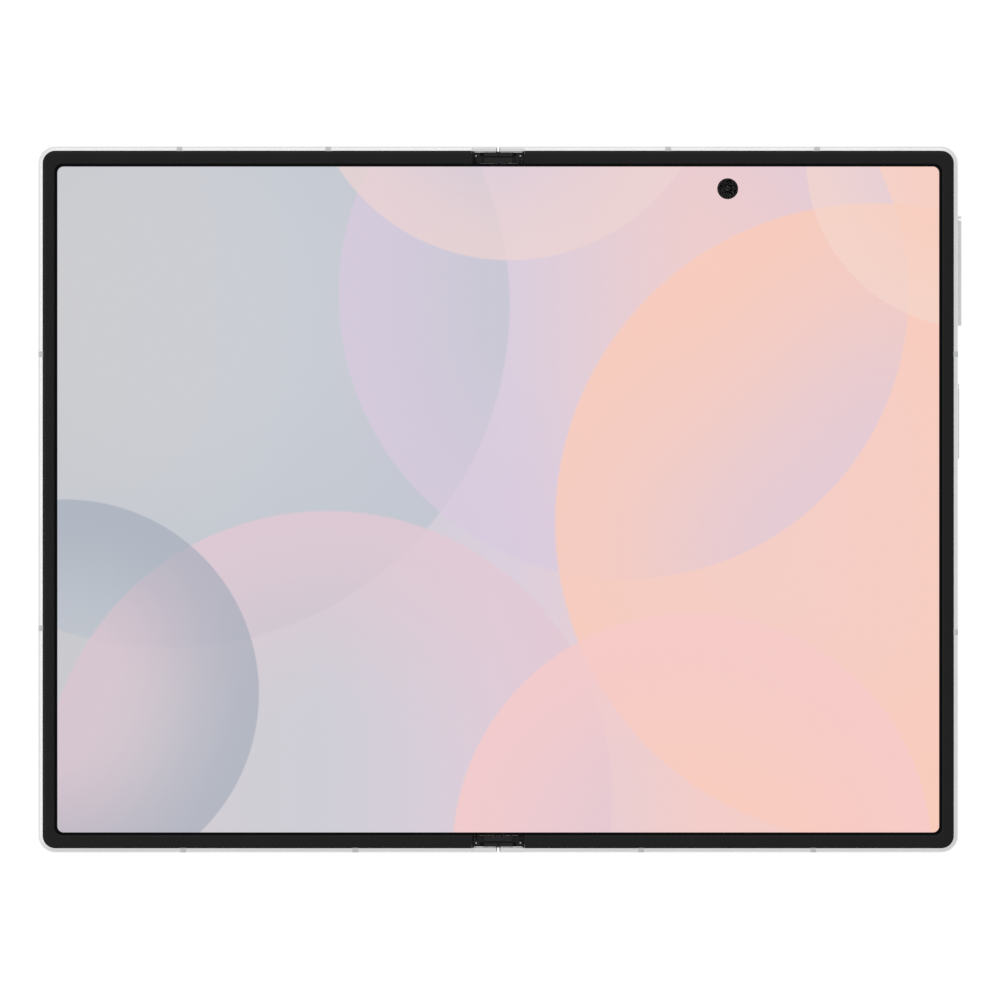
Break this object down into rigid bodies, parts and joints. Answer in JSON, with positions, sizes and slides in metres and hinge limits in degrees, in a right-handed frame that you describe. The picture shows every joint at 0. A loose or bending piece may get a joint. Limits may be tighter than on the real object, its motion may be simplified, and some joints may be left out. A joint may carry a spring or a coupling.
{
  "type": "foldable smartphone",
  "caption": "Book-style foldable phone that opens into a wide tablet screen, with a geared double-axis hinge, cover screen and rear cameras.",
  "frame": {"origin": "under the middle of the unfolded phone, on the surface it lies on, level with the lens rings", "axes": "+Z out of the inner screen; +X across the two halves, towards the half with the keys; +Y along the hinge, towards the inner camera"},
  "size_m": [0.162, 0.1238, 0.0065],
  "materials": {
    "frame_metal": "fine bead-blasted, bright",
    "bumper": "soft matte",
    "cover_glass": "polished glass over black print",
    "rear_glass": "frosted glass over white print",
    "screen": "lit screen under a smooth film",
    "steel": "plain spring steel",
    "black_part": "moulded black",
    "camera_glass": "coated lens glass",
    "battery": "foil pouch",
    "board": "solder mask",
    "copper": "copper",
    "break": "satin",
    "flash": "clear diffuser"
  },
  "bodies": {
    "right_half": {"right_frame": "frame_metal", "right_bumper": "bumper", "rear_glass": "rear_glass", "camera_island": "frame_metal", "lens_rings": "steel", "lens_covers": "camera_glass", "main_camera": "black_part", "wide_camera": "black_part", "flash_window": "flash", "inner_camera": "black_part", "right_battery": "battery", "main_board": "board", "shield_cans": "steel", "charging_coil": "copper", "right_magnets": "steel", "right_brackets": "steel", "right_screws": "steel", "right_screen_plate": "steel", "display_right": "screen", "right_antenna_breaks": "break", "usb_shell": "steel", "usb_tongue": "black_part", "loudspeaker": "black_part", "speaker_mesh": "black_part", "microphones": "steel", "key_switches": "steel"},
    "hinge_spine": {"hinge_cover": "frame_metal", "hinge_base": "steel", "hinge_end_caps": "black_part", "centre_plate": "steel", "gear_pins": "steel", "hinge_flex": "copper", "display_fold_zone": "screen"},
    "left_half": {"left_frame": "frame_metal", "left_bumper": "bumper", "cover_glass": "cover_glass", "cover_display": "screen", "cover_camera": "black_part", "earpiece": "black_part", "left_battery": "battery", "left_board": "board", "left_magnets": "steel", "vibration_motor": "steel", "left_brackets": "steel", "left_screws": "steel", "left_screen_plate": "steel", "display_left": "screen", "left_antenna_breaks": "break", "card_reader": "steel"},
    "idler_gear_left": {"idler_gear_left": "copper"},
    "idler_gear_right": {"idler_gear_right": "copper"},
    "sync_arm_left": {"sync_arm_left": "steel"},
    "sync_arm_right": {"sync_arm_right": "steel"},
    "wing_left": {"wing_plate_left": "steel"},
    "wing_right": {"wing_plate_right": "steel"},
    "card_tray": {"card_tray": "frame_metal"},
    "volume_key": {"volume_key": "frame_metal"},
    "power_key": {"power_key": "frame_metal"}
  },
  "joints": [
    {"name": "spine_fold", "type": "hinge", "parent": "right_half", "child": "hinge_spine", "pos_m": [0.00132, 0, 0.00523], "axis": [0, 1, 0], "range_deg": [0, 90], "deforming": ["display_fold_zone", "hinge_flex"]},
    {"name": "left_fold", "type": "hinge", "parent": "hinge_spine", "child": "left_half", "pos_m": [-0.00132, 0, 0.00523], "axis": [0, 1, 0], "range_deg": [0, 90], "deforming": ["display_fold_zone", "hinge_flex"]},
    {"name": "idler_left_spin", "type": "hinge", "parent": "hinge_spine", "child": "idler_gear_left", "pos_m": [-0.0007, 0, 0.004], "axis": [0, 1, 0], "range_deg": [-90, 0]},
    {"name": "idler_right_spin", "type": "hinge", "parent": "hinge_spine", "child": "idler_gear_right", "pos_m": [0.0007, 0, 0.004], "axis": [0, 1, 0], "range_deg": [0, 90]},
    {"name": "sync_left_turn", "type": "hinge", "parent": "hinge_spine", "child": "sync_arm_left", "pos_m": [-0.0021, 0, 0.004], "axis": [0, 1, 0], "range_deg": [0, 90]},
    {"name": "sync_right_turn", "type": "hinge", "parent": "hinge_spine", "child": "sync_arm_right", "pos_m": [0.0021, 0, 0.004], "axis": [0, 1, 0], "range_deg": [-90, 0]},
    {"name": "wing_left_tilt", "type": "hinge", "parent": "left_half", "child": "wing_left", "pos_m": [-0.009, 0, 0.00496], "axis": [0, 1, 0], "range_deg": [0, 12]},
    {"name": "wing_right_tilt", "type": "hinge", "parent": "right_half", "child": "wing_right", "pos_m": [0.009, 0, 0.00496], "axis": [0, 1, 0], "range_deg": [-12, 0]},
    {"name": "tray_slide", "type": "slide", "parent": "left_half", "child": "card_tray", "axis": [0, -1, 0], "range_m": [0, 0.018]},
    {"name": "volume_press", "type": "slide", "parent": "right_half", "child": "volume_key", "axis": [-1, 0, 0], "range_m": [0, 0.0002], "stiffness_N_per_m": 300, "springref_m": -0.0002},
    {"name": "power_press", "type": "slide", "parent": "right_half", "child": "power_key", "axis": [-1, 0, 0], "range_m": [0, 0.0002], "stiffness_N_per_m": 300, "springref_m": -0.0002}
  ],
  "couplings": [
    {"joint": "left_fold", "follows": "spine_fold", "ratio": 1},
    {"joint": "idler_left_spin", "follows": "spine_fold", "ratio": -1},
    {"joint": "idler_right_spin", "follows": "spine_fold", "ratio": 1},
    {"joint": "sync_left_turn", "follows": "spine_fold", "ratio": 1},
    {"joint": "sync_right_turn", "follows": "spine_fold", "ratio": -1},
    {"joint": "wing_left_tilt", "follows": "spine_fold", "ratio": 0.13333},
    {"joint": "wing_right_tilt", "follows": "spine_fold", "ratio": -0.13333}
  ]
}
